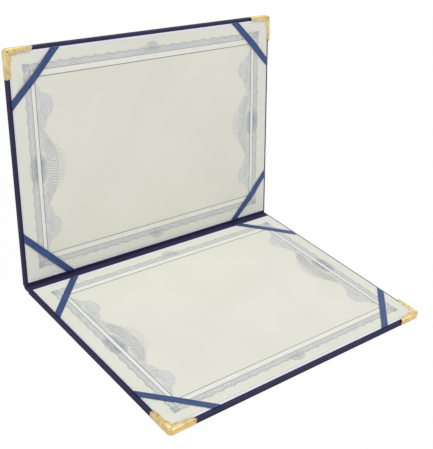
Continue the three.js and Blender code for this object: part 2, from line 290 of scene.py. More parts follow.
def bump(tree, shader, height, distance, strength=1.0):
    made = add(tree, "Bump", {"Height": height, "Distance": distance, "Strength": strength})
    tree.links.new(made.outputs["Normal"], shader.inputs["Normal"])


def per_metre(size):
    """The texture scale that gives features of this size, in metres."""
    return 1 / size


# Materials


def navy_leatherette():
    """Embossed polyurethane leatherette: a fine pebble grain, nearly matt, with painted shade in its
    creases and grooves.
    """
    made, tree, shader, where = material("navy_pu_leatherette")
    grain = add(tree, "TexVoronoi", {"Vector": where, "Scale": per_metre(1.1 * MM)}, feature="SMOOTH_F1")
    crease = add(tree, "TexNoise", {"Vector": where, "Scale": per_metre(3.5 * MM), "Detail": 5.0})
    mottle = add(tree, "TexNoise", {"Vector": where, "Scale": per_metre(22 * MM), "Detail": 3.0})
    colour = ramp(tree, mottle.outputs["Fac"], [(0.3, "#252340"), (0.55, "#292745"), (0.75, "#2D2B4B")])
    # painted shade: the base colour is darkened where other surfaces close in round it (creases,
    # grooves, corners) and made a little lighter in the open
    nearby = add(tree, "AmbientOcclusion", {"Distance": 5 * MM}, samples=8)
    painted_crease_shade = add(tree, "MapRange", {
        "Value": nearby.outputs["AO"], "From Min": 0.43, "From Max": 0.68, "To Min": 0.1, "To Max": 1.2})
    shaded = add(tree, "VectorMath", {0: colour, "Scale": painted_crease_shade.outputs["Result"]}, operation="SCALE")
    tree.links.new(shaded.outputs["Vector"], shader.inputs["Base Color"])
    rough = add(tree, "MapRange", {"Value": crease.outputs["Fac"], "To Min": 0.56, "To Max": 0.7})
    tree.links.new(rough.outputs["Result"], shader.inputs["Roughness"])
    height = add(tree, "Math", {0: grain.outputs["Distance"], 1: crease.outputs["Fac"]}, operation="ADD")
    bump(tree, shader, height.outputs["Value"], 0.09 * MM, 0.7)
    shader.inputs["IOR"].default_value = 1.5
    shader.inputs["Specular IOR Level"].default_value = 0.22
    return made


def ivory_paper():
    """Uncoated ivory certificate paper: matt, with faint fibre clouds."""
    made, tree, shader, where = material("ivory_certificate_paper")
    cloud = add(tree, "TexNoise", {"Vector": where, "Scale": per_metre(60 * MM), "Detail": 4.0})
    fibre = add(tree, "TexNoise", {"Vector": where, "Scale": per_metre(0.8 * MM), "Detail": 6.0})
    colour = ramp(tree, cloud.outputs["Fac"], [(0.3, "#E4E4D8"), (0.7, "#E9E9DE")])
    tree.links.new(colour, shader.inputs["Base Color"])
    bump(tree, shader, fibre.outputs["Fac"], 0.03 * MM, 0.35)
    shader.inputs["Roughness"].default_value = 0.8
    shader.inputs["IOR"].default_value = 1.5
    shader.inputs["Specular IOR Level"].default_value = 0.3
    return made


def white_card():
    """Coated white liner card: cooler and a little glossier than the paper on it."""
    made, tree, shader, where = material("coated_white_card")
    cloud = add(tree, "TexNoise", {"Vector": where, "Scale": per_metre(40 * MM), "Detail": 3.0})
    fibre = add(tree, "TexNoise", {"Vector": where, "Scale": per_metre(1.2 * MM), "Detail": 4.0})
    colour = ramp(tree, cloud.outputs["Fac"], [(0.3, "#E6E6F2"), (0.7, "#ECECF6")])
    tree.links.new(colour, shader.inputs["Base Color"])
    bump(tree, shader, fibre.outputs["Fac"], 0.02 * MM, 0.3)
    shader.inputs["Roughness"].default_value = 0.45
    shader.inputs["IOR"].default_value = 1.5
    return made


def printed_ink(name, dark, light, patch):
    """Offset ink on matt paper, a little uneven over patches of the given size."""
    made, tree, shader, where = material(name)
    cloud = add(tree, "TexNoise", {"Vector": where, "Scale": per_metre(patch), "Detail": 3.0})
    colour = ramp(tree, cloud.outputs["Fac"], [(0.35, dark), (0.65, light)])
    tree.links.new(colour, shader.inputs["Base Color"])
    shader.inputs["Roughness"].default_value = 0.75
    shader.inputs["IOR"].default_value = 1.48
    shader.inputs["Specular IOR Level"].default_value = 0.3
    return made


def blue_satin():
    """Woven polyester satin ribbon: long warp floats give streaks along it and a soft sheen; the streaks
    in its colour are partly uneven thread tone and partly painted sheen.
    """
    made = bpy.data.materials.new("blue_polyester_satin")
    made.use_nodes = True
    tree = made.node_tree
    shader = tree.nodes["Principled BSDF"]
    # the ribbon's own map is in metres: x along it, y across it
    along = add(tree, "UVMap").outputs["UV"]
    streak_and_sheen_place = add(tree, "Mapping", {"Vector": along, "Scale": (60, 1300, 1)})
    streak_and_sheen = add(tree, "TexNoise", {
        "Vector": streak_and_sheen_place.outputs["Vector"], "Scale": 1.0, "Detail": 3.0})
    # a wave texture repeats every 0.31 / Scale, so the ribs across the ribbon stand 0.7 mm apart
    thread = add(tree, "TexWave", {
        "Vector": along, "Scale": 0.31 * per_metre(0.7 * MM)}, bands_direction="X")
    # painted sheen: the base colour runs lighter and darker in streaks along the ribbon, partly uneven
    # thread tone and partly standing in for the satin's highlights
    colour = ramp(tree, streak_and_sheen.outputs["Fac"], [(0.3, "#132A56"), (0.5, "#1C3D76"), (0.72, "#315799")])
    tree.links.new(colour, shader.inputs["Base Color"])
    both = add(tree, "Math", {0: streak_and_sheen.outputs["Fac"], 1: thread.outputs["Fac"]}, operation="ADD")
    bump(tree, shader, both.outputs["Value"], 0.05 * MM, 0.5)
    shader.inputs["Roughness"].default_value = 0.38
    shader.inputs["IOR"].default_value = 1.55
    shader.inputs["Sheen Weight"].default_value = 0.35
    shader.inputs["Sheen Roughness"].default_value = 0.4
    shader.inputs["Sheen Tint"].default_value = linear("#9DB7F0")
    return made


def embossed_brass():
    """Bright brass-plated steel, pressed with small raised spots and lacquered."""
    made, tree, shader, where = material("embossed_brass_plate")
    spots = add(tree, "TexVoronoi", {"Vector": where, "Scale": per_metre(1.6 * MM)}, feature="SMOOTH_F1")
    wear = add(tree, "TexNoise", {"Vector": where, "Scale": per_metre(5 * MM), "Detail": 4.0})
    colour = ramp(tree, wear.outputs["Fac"], [(0.3, "#C6AC70"), (0.5, "#DEC589"), (0.75, "#F5E3AE")])
    tree.links.new(colour, shader.inputs["Base Color"])
    rough = add(tree, "MapRange", {"Value": wear.outputs["Fac"], "To Min": 0.28, "To Max": 0.45})
    tree.links.new(rough.outputs["Result"], shader.inputs["Roughness"])
    bump(tree, shader, spots.outputs["Distance"], 0.12 * MM, 0.8)
    shader.inputs["Metallic"].default_value = 1.0
    return made


def soft_foam():
    """Thin polyurethane foam, cream and open-celled."""
    made, tree, shader, where = material("cream_pu_foam")
    cells = add(tree, "TexVoronoi", {"Vector": where, "Scale": per_metre(0.6 * MM)})
    colour = ramp(tree, cells.outputs["Distance"], [(0.1, "#CFC7AE"), (0.7, "#E6E0CC")])
    tree.links.new(colour, shader.inputs["Base Color"])
    bump(tree, shader, cells.outputs["Distance"], 0.1 * MM, 0.6)
    shader.inputs["Roughness"].default_value = 0.9
    return made


def grey_board():
    """Raw bookbinder's greyboard of pressed waste fibre."""
    made, tree, shader, where = material("raw_greyboard")
    fibre = add(tree, "TexNoise", {"Vector": where, "Scale": per_metre(2 * MM), "Detail": 8.0})
    colour = ramp(tree, fibre.outputs["Fac"], [(0.35, "#857D70"), (0.65, "#9A9284")])
    tree.links.new(colour, shader.inputs["Base Color"])
    bump(tree, shader, fibre.outputs["Fac"], 0.05 * MM, 0.4)
    shader.inputs["Roughness"].default_value = 0.88
    return made


LEATHERETTE = navy_leatherette()
PAPER = ivory_paper()
CARD = white_card()
TINT = printed_ink("pale_grey_tint", "#DADBD9", "#E1E2DC", 6 * MM)
LINES = printed_ink("lavender_grey_ink", "#9BA1B4", "#BABFC8", 9 * MM)
LACE = printed_ink("pale_lavender_ink", "#C0C4CF", "#D0D3D7", 9 * MM)
STRIPE = printed_ink("opaque_white_ink", "#EBEBE2", "#EFEFE8", 10 * MM)
RULE = printed_ink("dark_grey_ink", "#6F7273", "#7C7F80", 8 * MM)
SATIN = blue_satin()
BRASS = embossed_brass()
FOAM = soft_foam()
BOARD = grey_board()


# Modelling helpers


def start(shape, **place):
    """Adds a primitive with nothing else selected and returns it."""
    bpy.ops.object.select_all(action="DESELECT")
    getattr(bpy.ops.mesh, f"primitive_{shape}_add")(**place)
    made = bpy.context.object
    bpy.ops.object.transform_apply(location=True, rotation=True, scale=True)
    return made


def pick(piece, kind, wanted):
    """Enters edit mode with only the wanted vertices, edges or faces selected."""
    bpy.ops.object.mode_set(mode="OBJECT")
    mesh = piece.data
    for group in (mesh.vertices, mesh.edges, mesh.polygons):
        group.foreach_set("select", [False] * len(group))
    chosen = {"VERT": mesh.vertices, "EDGE": mesh.edges, "FACE": mesh.polygons}[kind]
    for item in chosen:
        item.select = wanted(item)
    bpy.context.tool_settings.mesh_select_mode = (kind == "VERT", kind == "EDGE", kind == "FACE")
    bpy.ops.object.mode_set(mode="EDIT")


def done(piece):
    bpy.ops.object.mode_set(mode="OBJECT")
    return piece


def only(piece):
    """Selects and activates one piece alone."""
    bpy.ops.object.select_all(action="DESELECT")
    piece.select_set(True)
    bpy.context.view_layer.objects.active = piece


def finish_with(piece, kind, **settings):
    """Adds a modifier and applies it."""
    only(piece)
    made = piece.modifiers.new(kind.title(), kind)
    for name, value in settings.items():
        setattr(made, name, value)
    bpy.ops.object.modifier_apply(modifier=made.name)


def outward(piece):
    """Merges doubles and turns every face out."""
    pick(piece, "VERT", lambda vertex: True)
    bpy.ops.mesh.remove_doubles(threshold=0.001 * MM)
    bpy.ops.mesh.normals_make_consistent(inside=False)
    return done(piece)


def smooth(piece, degrees=35):
    only(piece)
    bpy.ops.object.shade_smooth_by_angle(angle=math.radians(degrees))


def edge_ends(piece, edge):
    return [piece.data.vertices[index].co for index in edge.vertices]


def prism(outline, low, high):
    """A closed block on an outline, between two levels."""
    curve = bpy.data.curves.new("outline", "CURVE")
    curve.dimensions = "2D"
    curve.fill_mode = "BOTH"
    curve.extrude = (high - low) / 2
    line = curve.splines.new("POLY")
    line.points.add(len(outline) - 1)
    for point, (x, y) in zip(line.points, outline):
        point.co = (x, y, 0, 1)
    line.use_cyclic_u = True
    made = bpy.data.objects.new("outline", curve)
    bpy.context.scene.collection.objects.link(made)
    made.location.z = (low + high) / 2
    only(made)
    bpy.ops.object.convert(target="MESH")
    made = bpy.context.object
    bpy.ops.object.transform_apply(location=True, rotation=True, scale=True)
    return outward(made)


def carve(piece, tool, operation):
    """Cuts or keeps a piece by a tool and removes the tool."""
    finish_with(piece, "BOOLEAN", operation=operation, object=tool, solver="EXACT")
    bpy.data.objects.remove(tool)


def settle(pattern, name, panel, finish, mirrored=False):
    """Copies a panel-frame pattern to its place on a panel as a finished piece of that body."""
    mesh = pattern.data.copy()
    piece = bpy.data.objects.new(name, mesh)
    mesh.name = name
    bpy.context.scene.collection.objects.link(piece)
    if mirrored:
        mesh.transform(Matrix.Scale(-1, 4, (1, 0, 0)))
        mesh.flip_normals()
    mesh.transform(PANEL_PLACE[panel])
    mesh.materials.clear()
    mesh.materials.append(finish)
    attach(piece, PANEL_BODY[panel])
    return piece


def discard(*patterns):
    for pattern in patterns:
        bpy.data.objects.remove(pattern)


def dress(node, finish):
    """Gives one of the solids that stay its finish."""
    solid = frame["nodes"][node]
    solid.data.materials.clear()
    solid.data.materials.append(finish)


def both_sides(panel):
    """A panel's sides, each with whether a pattern made at +x in its own frame is mirrored for it."""
    left_mirrored = panel == "front"
    return ("left", left_mirrored), ("right", not left_mirrored)


# Leatherette skins


def crowd(share):
    """Spreads even shares from -1 to 1 so that they lie closer together towards both ends."""
    return math.copysign(1 - (1 - abs(share)) ** CROWDING, share)


def rounded_corner(x, y, half_x, half_y, radius):
    """Draws a point of a rectangle's free corner in onto a round corner."""
    over_x = abs(x) - (half_x - radius)
    over_y = y - (half_y - radius)
    if over_x <= 0 or over_y <= 0:
        return x, y
    a, b = over_x / radius, over_y / radius
    a, b = a * math.sqrt(1 - b * b / 2), b * math.sqrt(1 - a * a / 2)
    return math.copysign(half_x - radius + a * radius, x), half_y - radius + b * radius


def pad_rise(x, y):
    """Share of the padding's full height at a place on the outer face, from 0 at the rim to 1."""
    in_x = min(1, (HALF_WIDTH - abs(x)) / PAD_RUN)
    in_y = min(1, (HALF_DEPTH - abs(y)) / PAD_RUN)
    return (math.sin(math.pi / 2 * in_x) * math.sin(math.pi / 2 * in_y)) ** PAD_SHOULDER


def pressed_level(x, y):
    """Level that the brass plates hold the skin down to, or None away from them."""
    from_side = HALF_WIDTH - abs(x)
    from_end = HALF_DEPTH - y
    beyond = from_side + from_end - BRASS_LEG + PLATE_BOW
    if beyond < 0:
        return -THICKNESS + BRASS_WALL + SEAT
    if beyond < PLATE_SLOPE:
        return -THICKNESS + (BRASS_WALL + SEAT) * (1 - beyond / PLATE_SLOPE)
    return None


def skin_pattern():
    """One panel's wrapped skin: a padded outer face, rounded edges and the turn-in inside."""
    columns, rows = SKIN_GRID
    piece = start("grid", x_subdivisions=columns, y_subdivisions=rows, size=2)
    rim = -THICKNESS + RIM_DROP
    for vertex in piece.data.vertices:
        x = crowd(vertex.co.x) * HALF_WIDTH
        y = crowd(vertex.co.y) * HALF_DEPTH
        x, y = rounded_corner(x, y, HALF_WIDTH, HALF_DEPTH, CORNER_RADIUS)
        rise = pad_rise(x, y)
        ripple = noise.noise(Vector((x, y, 0)) * per_metre(SWELL_SIZE))
        level = rim - RIM_DROP * rise + PAD_SWELL * rise * (0.5 + 0.5 * ripple)
        held = pressed_level(x, y)
        if held is not None:
            level = max(level, held)
        vertex.co = (x, y + MIDDLE_Y, level)
    pick(piece, "VERT", lambda vertex: True)
    bpy.ops.mesh.select_all(action="DESELECT")
    bpy.ops.mesh.select_non_manifold(extend=False)
    bpy.ops.mesh.extrude_edges_move(TRANSFORM_OT_translate={"value": (0, 0, -rim)})
    bpy.ops.mesh.extrude_edges_move()
    bpy.ops.transform.resize(
        value=(1 - TURN_IN / HALF_WIDTH, 1 - TURN_IN / HALF_DEPTH, 1),
        center_override=(0, MIDDLE_Y, 0))
    done(piece)

    def wrapped(edge):
        a, b = edge_ends(piece, edge)
        level = abs(a.z - b.z) < NEAR and (abs(a.z - rim) < NEAR or abs(a.z) < NEAR)
        at_hinge = a.y < SKIN_LOW.y + NEAR and b.y < SKIN_LOW.y + NEAR
        return level and not at_hinge and outer_edge(a) and outer_edge(b)

    def outer_edge(point):
        over_x = abs(point.x) - (HALF_WIDTH - CORNER_RADIUS)
        over_y = point.y - (SKIN_HIGH.y - CORNER_RADIUS)
        if over_x > 0 and over_y > 0:
            return abs(math.hypot(over_x, over_y) - CORNER_RADIUS) < 10 * NEAR
        return abs(abs(point.x) - HALF_WIDTH) < NEAR or abs(point.y - SKIN_HIGH.y) < NEAR

    pick(piece, "EDGE", wrapped)
    bpy.ops.mesh.bevel(offset=EDGE_ROUND, segments=EDGE_SEGMENTS, affect="EDGES")
    done(piece)
    outward(piece)
    finish_with(piece, "SOLIDIFY", thickness=SKIN_WALL, offset=-1)
    smooth(piece)
    return piece


def make_skins():
    pattern = skin_pattern()
    for panel in PANEL_PLACE:
        piece = settle(pattern, panel + "_skin", panel, LEATHERETTE)
        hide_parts(panel + "_leatherette")
    discard(pattern)


# Padding and board inside


def make_padding():
    """The foam: a thin pad with soft edges, between the board and the skin's outer face."""
    size = PADDING_HIGH - PADDING_LOW
    pattern = start("cube", size=1, location=(PADDING_LOW + PADDING_HIGH) / 2, scale=size)
    low = PADDING_LOW.z
    pick(pattern, "FACE", lambda face: face.normal.z < -0.5)
    for _ in range(PAD_STEPS):
        bpy.ops.mesh.inset(thickness=PAD_RUN / PAD_STEPS)
    done(pattern)
    for vertex in pattern.data.vertices:
        if vertex.co.z < low + size.z / 2:
            vertex.co.z = low + RIM_DROP * (1 - pad_rise(vertex.co.x, vertex.co.y - MIDDLE_Y))
    finish_with(pattern, "BEVEL", width=PAD_FILLET, segments=2, limit_method="ANGLE")
    for panel in PANEL_PLACE:
        piece = settle(pattern, panel + "_foam_pad", panel, FOAM)
        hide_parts(panel + "_padding")
        dress(panel + "_board", BOARD)
    discard(pattern)


# Spine


def hinge_section(low_y, high_y, level):
    """A block across the hinge with the panels' rounded side edges."""
    low = Vector((-HALF_WIDTH, low_y, level))
    high = Vector((HALF_WIDTH, high_y, BACK_CREASE.z))
    piece = start("cube", size=1, location=(low + high) / 2, scale=high - low)

    def side_edge(edge):
        a, b = edge_ends(piece, edge)
        return abs(a.x - b.x) < NEAR and abs(a.z - b.z) < NEAR

    pick(piece, "EDGE", side_edge)
    bpy.ops.mesh.bevel(offset=EDGE_ROUND, segments=EDGE_SEGMENTS, affect="EDGES")
    return done(piece)


def hinge_piece(piece, name):
    piece.name = name
    piece.data.name = name
    piece.data.materials.append(LEATHERETTE)


def make_spine():
    """The flat spine and the two folds of leatherette that join it to the panels."""
    rim = BACK_CREASE.z - THICKNESS + RIM_DROP
    back_end = BACK_CREASE.y - SKIN_LOW.y
    spine_low, spine_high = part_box("spine_inner_strip")
    fold_run = FRONT_CREASE.y - spine_high.y

    spine = hinge_section(spine_low.y, spine_high.y, rim)
    pick(spine, "FACE", lambda face: face.normal.z < -0.99)
    bpy.ops.mesh.inset(thickness=SPINE_BULGE_RUN)
    bpy.ops.transform.translate(value=(0, 0, -SPINE_BULGE))
    done(spine)
    pick(spine, "FACE", lambda face: face.normal.z > 0.99)
    bpy.ops.mesh.inset(thickness=SPINE_DIP_RUN)
    bpy.ops.transform.translate(value=(0, 0, -SPINE_DIP))
    done(spine)
    smooth(spine)
    hinge_piece(spine, "spine_cover")
    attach(spine, "spine")
    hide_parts("spine_inner_strip", "spine_leatherette")

    back_fold = hinge_section(back_end, spine_low.y, rim)

    def crosses_fold(edge):
        a, b = edge_ends(back_fold, edge)
        return abs(a.y - b.y) > 10 * NEAR

    pick(back_fold, "EDGE", crosses_fold)
    bpy.ops.mesh.subdivide(number_cuts=BACK_FOLD_CUTS)
    done(back_fold)
    smooth(back_fold, 60)
    hinge_piece(back_fold, "back_fold")
    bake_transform(back_fold)

    front_fold = hinge_section(spine_high.y - fold_run, spine_high.y, rim)
    pick(front_fold, "FACE", lambda face: face.normal.y < 0.5)
    bpy.ops.mesh.delete(type="FACE")
    done(front_fold)
    pick(front_fold, "FACE", lambda face: True)
    bpy.ops.mesh.spin(
        steps=FRONT_FOLD_STEPS, angle=-FRONT_LEAN, center=FRONT_CREASE, axis=(1, 0, 0),
        use_normal_flip=False)
    reach = 2 * fold_run
    bpy.ops.mesh.extrude_region_move(TRANSFORM_OT_translate={
        "value": (0, reach * math.cos(FRONT_LEAN), reach * math.sin(FRONT_LEAN))})
    done(front_fold)
    outward(front_fold)
    smooth(front_fold, 50)
    hinge_piece(front_fold, "front_fold")
    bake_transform(front_fold)


# Liner card and certificate


def flat_sheet(low, high, radius, lift):
    """A sheet with small round corners, whose edges stand up by at most the lift."""
    columns, rows = SHEET_GRID
    piece = start("grid", x_subdivisions=columns, y_subdivisions=rows, size=2)
    half_x = (high.x - low.x) / 2
    half_y = (high.y - low.y) / 2
    wall = high.z - low.z
    for vertex in piece.data.vertices:
        x = crowd(vertex.co.x) * half_x
        y = crowd(abs(vertex.co.y)) * half_y
        x, y = rounded_corner(x, y, half_x, half_y, radius)
        y = math.copysign(y, vertex.co.y)
        near_edge = max(0, 1 - min(half_x - abs(x), half_y - abs(y)) / LIFT_RUN)
        wave = 0.5 + 0.5 * noise.noise(Vector((x, y, 0)) * per_metre(LIFT_WAVE))
        level = low.z + wall / 2 + lift * near_edge ** 2 * wave
        vertex.co = (x, y + (low.y + high.y) / 2, level)
    finish_with(piece, "SOLIDIFY", thickness=wall, offset=0)
    smooth(piece)
    return piece


def make_sheets():
    liner = flat_sheet(LINER_LOW, LINER_HIGH, LINER_CORNER, 0)
    certificate = flat_sheet(SHEET_LOW, SHEET_HIGH, CERTIFICATE_CORNER, CERTIFICATE_LIFT)
    for panel in PANEL_PLACE:
        card = settle(liner, panel + "_liner_card", panel, CARD)
        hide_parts(panel + "_liner")
        paper = settle(certificate, panel + "_certificate_sheet", panel, PAPER)
        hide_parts(panel + "_certificate")
    discard(liner, certificate)


# Certificate border

SQUARE = ((-1, -1), (1, -1), (1, 1), (-1, 1))


def ink_lines(name, lines, width, level):
    """Printed lines, each a list of flat points about the sheet's middle and whether it is closed."""
    curve = bpy.data.curves.new(name, "CURVE")
    curve.dimensions = "3D"
    curve.bevel_depth = width / 2
    curve.bevel_resolution = 0
    curve.use_fill_caps = True
    for points, closed in lines:
        line = curve.splines.new("POLY")
        line.points.add(len(points) - 1)
        for point, (x, y) in zip(line.points, points):
            point.co = (x, y, 0, 1)
        line.use_cyclic_u = closed
    made = bpy.data.objects.new(name, curve)
    bpy.context.scene.collection.objects.link(made)
    only(made)
    bpy.ops.object.convert(target="MESH")
    made = bpy.context.object
    made.scale.z = INK_WALL / width
    made.location = (0, MIDDLE_Y, level + INK_WALL / 2)
    bpy.ops.object.transform_apply(location=True, rotation=True, scale=True)
    return made


def sides():
    """For each side of the sheet: whether it is a short upright one, half the band's length, the
    band's inset, and the function that turns a place along the side and inward into a flat point."""
    for quarter in range(4):
        upright = quarter % 2 == 1
        half = SHEET_HALF_Y if upright else SHEET_HALF_X
        across = SHEET_HALF_X if upright else SHEET_HALF_Y
        inset = BAND_SIDE_INSET if upright else BAND_END_INSET
        ends = BAND_END_INSET if upright else BAND_SIDE_INSET
        turn = quarter * math.pi / 2

        def place(along, inward, turn=turn, across=across):
            x, y = along, -(across - inward)
            return (x * math.cos(turn) - y * math.sin(turn), x * math.sin(turn) + y * math.cos(turn))

        yield upright, half - ends, inset, place


def interlaced(half, inset, place):
    """Sine lines that weave along one side of the band."""
    waves = round(2 * half / WEAVE_PITCH)
    steps = waves * WEAVE_STEPS
    middle = inset + BAND_WIDTH / 2 + WEAVE_SHIFT
    lines = []
    for strand in range(WEAVE_STRANDS):
        phase = 2 * math.pi * strand / WEAVE_STRANDS
        points = []
        for step in range(steps + 1):
            share = step / steps
            angle = 2 * math.pi * share * waves
            reach = WEAVE_SWING + WEAVE_RIPPLE * math.cos(2 * angle)
            swing = math.cos(angle + phase) * BAND_WIDTH * reach
            points.append(place(-half + 2 * half * share, middle + swing))
        lines.append((points, False))
    return lines


def scalloped(half, inset, place):
    """The band's wavy outer edge, drawn twice."""
    waves = round(2 * half / WEAVE_PITCH)
    steps = waves * WEAVE_STEPS
    lines = []
    for shift in (0, EDGE_DOUBLE):
        points = []
        for step in range(steps + 1):
            share = step / steps
            dip = EDGE_WAVE * (1 - math.cos(2 * math.pi * share * waves)) / 2
            points.append(place(-half + 2 * half * share, inset + dip + shift))
        lines.append((points, False))
    return lines


def rosette(middle, inward, radius, loops, place, low=-math.pi, high=math.pi, *, inner, stretch=1.0):
    """Narrow loops round a centre, between two angles, from a share of the radius out to all of it.
    The stretch widens them along the side."""
    lines = []
    for loop in range(loops):
        turn = low + (high - low) * (loop + 0.5) / loops
        spread = LOOP_SPREAD * (high - low) / loops
        points = []
        for step in range(LOOP_STEPS):
            angle = 2 * math.pi * step / LOOP_STEPS
            reach = radius * (inner + (1 - inner) * (1 - math.cos(angle)) / 2)
            aim = turn + spread * math.sin(angle)
            along = middle + stretch * reach * math.sin(aim)
            points.append(place(along, inward + reach * math.cos(aim)))
        lines.append((points, True))
    return lines


def ring(middle, inward, radius, wobble, lobes, place, low=-math.pi, high=math.pi, steps=72):
    """A wavy ring or arc about a centre."""
    closed = high - low > 2 * math.pi - 0.01
    points = []
    for step in range(steps + (0 if closed else 1)):
        aim = low + (high - low) * step / steps
        reach = radius + wobble * math.cos(lobes * aim)
        points.append(place(middle + reach * math.sin(aim), inward + reach * math.cos(aim)))
    return [(points, closed)]


def band_lines():
    """The dark part of the guilloche: the woven band, the cores of the side rosettes, and on the
    long sides a hump in the middle and a square at both ends."""
    lines = []
    for upright, half, inset, place in sides():
        lines += interlaced(half, inset, place)
        lines += scalloped(half, inset, place)
        if upright:
            lines += rosette(0, inset + CORE_DEPTH, CORE_RADIUS, CORE_LOOPS, place,
                             inner=0.2, stretch=CORE_STRETCH)
            continue
        outward_half = (math.pi / 2, 3 * math.pi / 2)
        core = inset + HUMP_DEPTH
        lines += rosette(0, core, HUMP_RADIUS, HUMP_LOOPS, place, *outward_half, inner=0.2)
        lines += ring(0, core, *HUMP_RING, place, *outward_half)
        middle = inset + BAND_WIDTH / 2
        for side in (-1, 1):
            corner = side * (half - BAND_WIDTH / 2)
            for size in CORNER_SQUARES:
                square = [place(corner + a * size, middle + b * size) for a, b in SQUARE]
                lines.append((square, True))
            lines += ring(corner, middle, *CORNER_RING, place, steps=32)
    return lines


def lace_lines():
    """The pale part of the guilloche: rings round each side rosette and the lace along the side."""
    lines = []
    for upright, _, inset, place in sides():
        if not upright:
            continue
        for radius, wobble, lobes, span, steps in LACE_RINGS:
            lines += ring(0, inset + CORE_DEPTH, radius, wobble, lobes, place, -span, span, steps)
        inward_half = (-math.pi / 2, math.pi / 2)
        for side in (-1, 1):
            for offset, depth, radius in LACE_LOBES:
                centre = (side * offset, inset + depth)
                lines += rosette(*centre, radius, LOBE_LOOPS, place, *inward_half, inner=0.1)
                lines += ring(*centre, radius, *LOBE_RING, place, *inward_half, steps=36)
    return lines


def strokes(shift):
    """Curved strokes that radiate from each side rosette, moved on by a share of their spacing."""
    lines = []
    foot_along, foot_inward = STROKE_FOOT
    for upright, _, inset, place in sides():
        for stroke in range(STROKES if upright else 0):
            turn = STROKE_SPAN * (2 * (stroke + shift) / STROKES - 1)
            foot_x = foot_along * CORE_STRETCH * CORE_RADIUS * math.sin(turn)
            foot_y = inset + CORE_DEPTH + foot_inward * CORE_RADIUS * math.cos(turn)
            points = []
            for step in range(STROKE_STEPS + 1):
                run = STROKE_LENGTH * step / STROKE_STEPS
                aim = STROKE_FAN * turn + STROKE_CURL * math.sin(math.pi * step / STROKE_STEPS)
                points.append(place(foot_x + run * math.sin(aim), foot_y + run * math.cos(aim)))
            lines.append((points, False))
    return lines


def printed_frame(outer, inner, level):
    """A flat rectangular frame, each edge given by its insets from the sheet's sides and ends."""
    outlines = []
    for side_inset, end_inset in (outer, inner):
        half_x = SHEET_HALF_X - side_inset
        half_y = SHEET_HALF_Y - end_inset
        outlines.append([(x * half_x, MIDDLE_Y + y * half_y) for x, y in SQUARE])
    made = prism(outlines[0], level, level + INK_WALL)
    carve(made, prism(outlines[1], level - INK_WALL, level + 2 * INK_WALL), "DIFFERENCE")
    return made


def make_print():
    """The printed border: line work on a pale tint, and over it a white stripe between two thin dark
    rules, and pale and dark strokes."""
    under = PRINT_TOP + LINES_LIFT
    over = PRINT_TOP + INK_WALL + INK_GAP
    band = (BAND_SIDE_INSET + BAND_WIDTH, BAND_END_INSET + BAND_WIDTH)
    rule = (band[0] + RULE_GAP_SIDE, band[1] + RULE_GAP_END)

    def frame_between(start_at, start_more, end_at, end_more):
        outer = [inset + start_more for inset in start_at]
        inner = [inset + end_more for inset in end_at]
        return printed_frame(outer, inner, over)

    patterns = [
        ("border_lines", LINES, ink_lines("lines", band_lines(), LINE_WIDTH, under)),
        ("border_lace", LACE, ink_lines("lace", lace_lines(), LINE_WIDTH, under)),
        ("border_band_rule", RULE, frame_between(band, 0, band, BAND_RULE_WIDTH)),
        ("border_stripe", STRIPE, frame_between(band, STRIPE_GAP, rule, -STRIPE_TRIM)),
        ("border_rule", RULE, frame_between(rule, 0, rule, RULE_WIDTH)),
        ("border_strokes", STRIPE, ink_lines("strokes", strokes(0.5), PALE_STROKE_WIDTH, over)),
        ("border_dark_strokes", LACE,
         ink_lines("dark strokes", strokes(0.0), DARK_STROKE_WIDTH, over)),
    ]
    for panel in PANEL_PLACE:
        dress(panel + "_border_print", TINT)
        for name, finish, pattern in patterns:
            settle(pattern, f"{panel}_{name}", panel, finish)
    discard(*(pattern for _, _, pattern in patterns))


# Corner ribbons


def wrap_edge(beyond, level_top, level_low):
    """Where a strip that runs this far past an edge lies: its place beyond the edge, its level."""
    radius = (level_top - level_low) / 2
    arc = math.pi * radius
    if beyond <= 0:
        return beyond, level_top
    if beyond < arc:
        return radius * math.sin(beyond / radius), level_top - radius * (1 - math.cos(beyond / radius))
    return arc - beyond, level_low


def ribbon_pattern(bow, seed):
    """A ribbon across the liner's free corner at +x, folded round both edges to the underside."""
    top, low = RIBBON_TOP, RIBBON_UNDER
    half_crossing = RIBBON_LEG * math.sqrt(2) / 2
    columns, rows = RIBBON_GRID
    piece = start("grid", x_subdivisions=columns, y_subdivisions=rows, size=1, calc_uvs=True)
    corner = Vector((LINER_HIGH.x, LINER_HIGH.y))
    along = Vector((1, -1)).normalized()
    across = Vector((1, 1)).normalized()
    middle = corner - across * (RIBBON_LEG / math.sqrt(2))
    for loop in piece.data.uv_layers.active.data:
        loop.uv = (loop.uv.x * RIBBON_FLAT, loop.uv.y * RIBBON_WIDTH)
    for vertex in piece.data.vertices:
        run = vertex.co.x * RIBBON_FLAT
        side = vertex.co.y * RIBBON_WIDTH
        share = min(1, abs(run) / half_crossing)
        flat = middle + along * run + across * side
        beyond_x, level = wrap_edge(flat.x - corner.x, top, low)
        beyond_y, level_y = wrap_edge(flat.y - corner.y, top, low)
        level = min(level, level_y)
        arch = math.cos(math.pi / 2 * share) ** 2
        soft = noise.noise(Vector((run / RIBBON_WAVE[0], seed, side / RIBBON_WAVE[1])))
        tilt = side / RIBBON_WIDTH * RIBBON_TILT
        level += bow * arch * (RIBBON_MEAN + RIBBON_SOFTNESS * soft + tilt)
        vertex.co = (corner.x + beyond_x, corner.y + beyond_y, level)
    finish_with(piece, "SOLIDIFY", thickness=RIBBON_WALL, offset=0)
    smooth(piece, 60)
    return piece


